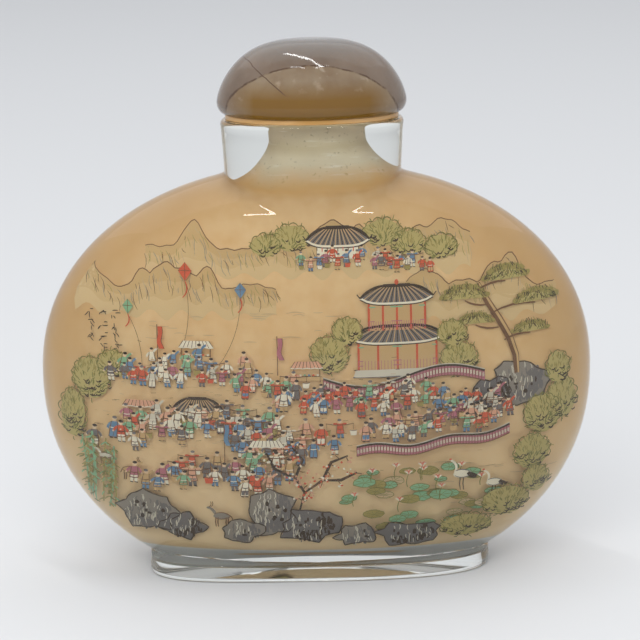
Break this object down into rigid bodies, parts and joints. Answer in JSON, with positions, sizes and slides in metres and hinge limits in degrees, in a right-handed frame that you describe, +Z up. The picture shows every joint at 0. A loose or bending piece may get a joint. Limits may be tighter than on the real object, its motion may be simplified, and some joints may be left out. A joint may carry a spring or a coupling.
{
  "type": "inside-painted snuff bottle",
  "caption": "Flattened round glass snuff bottle on an oval foot, painted on the inside, closed by a domed agate stopper that lifts out.",
  "frame": {"origin": "centre of the foot's underside, on the surface that it stands on", "axes": "+Z up; the broad front face looks along -Y; +X to the right of someone looking at that face"},
  "size_m": [0.0878, 0.0386, 0.0848],
  "materials": {
    "glass": "clear glass, polished outside, ground matt and painted in ochre on the inside of the body",
    "agate": "polished translucent grey-brown agate",
    "plug": "amber-brown collar and plug"
  },
  "bodies": {
    "root": {"bottle": "glass", "stopper_cap": "agate", "stopper_plug": "plug"}
  },
  "joints": []
}
